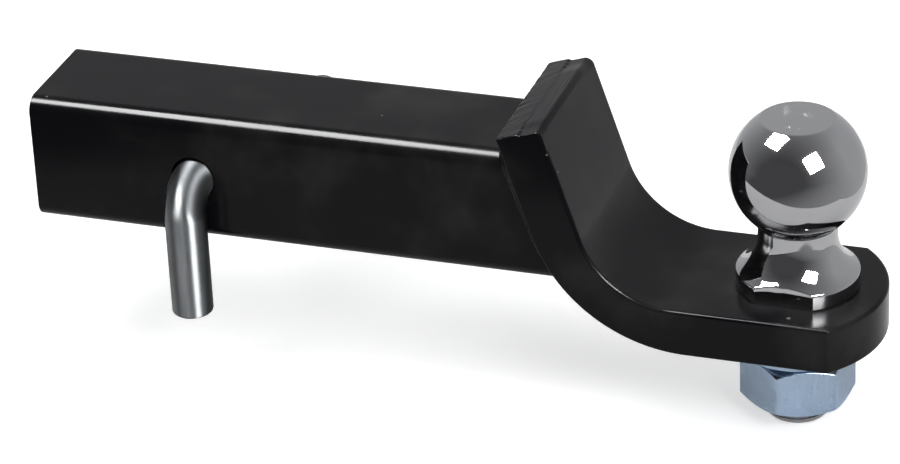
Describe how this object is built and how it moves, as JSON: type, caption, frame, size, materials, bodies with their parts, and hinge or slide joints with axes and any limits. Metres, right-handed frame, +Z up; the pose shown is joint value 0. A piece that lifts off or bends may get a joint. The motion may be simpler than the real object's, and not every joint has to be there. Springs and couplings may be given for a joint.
{
  "type": "trailer hitch ball mount",
  "caption": "Ball mount for a receiver hitch: square tube shank welded to a bent drop plate that carries a chrome coupler ball, kept in the receiver by a bent pin and spring clip.",
  "frame": {"origin": "the shank's centre line, on the axis of the hitch-pin hole", "axes": "+X runs along the shank towards the ball, +Y away from the pin's bent leg, +Z up, along the ball's stud"},
  "size_m": [0.3277, 0.0997, 0.1221],
  "materials": {
    "black_paint": "gloss",
    "black_weld": "gloss over a rippled weld",
    "chrome": "polished",
    "zinc": "bright zinc",
    "pin_steel": "bright drawn",
    "spring_steel": "bright zinc"
  },
  "bodies": {
    "ball_mount": {"shank_tube": "black_paint", "draw_plate": "black_paint", "weld_bead": "black_weld", "hitch_ball": "chrome", "lock_washer": "zinc", "ball_nut": "zinc"},
    "pin": {"hitch_pin": "pin_steel"},
    "clip": {"pin_clip": "spring_steel"}
  },
  "joints": [
    {"name": "pin_turn", "type": "hinge", "parent": "ball_mount", "child": "pin", "pos_m": [0, 0, -0.0007], "axis": [0, 1, 0], "continuous": true},
    {"name": "clip_pull", "type": "slide", "parent": "pin", "child": "clip", "axis": [0.9205, 0, 0.3907], "range_m": [0, 0.024]}
  ]
}
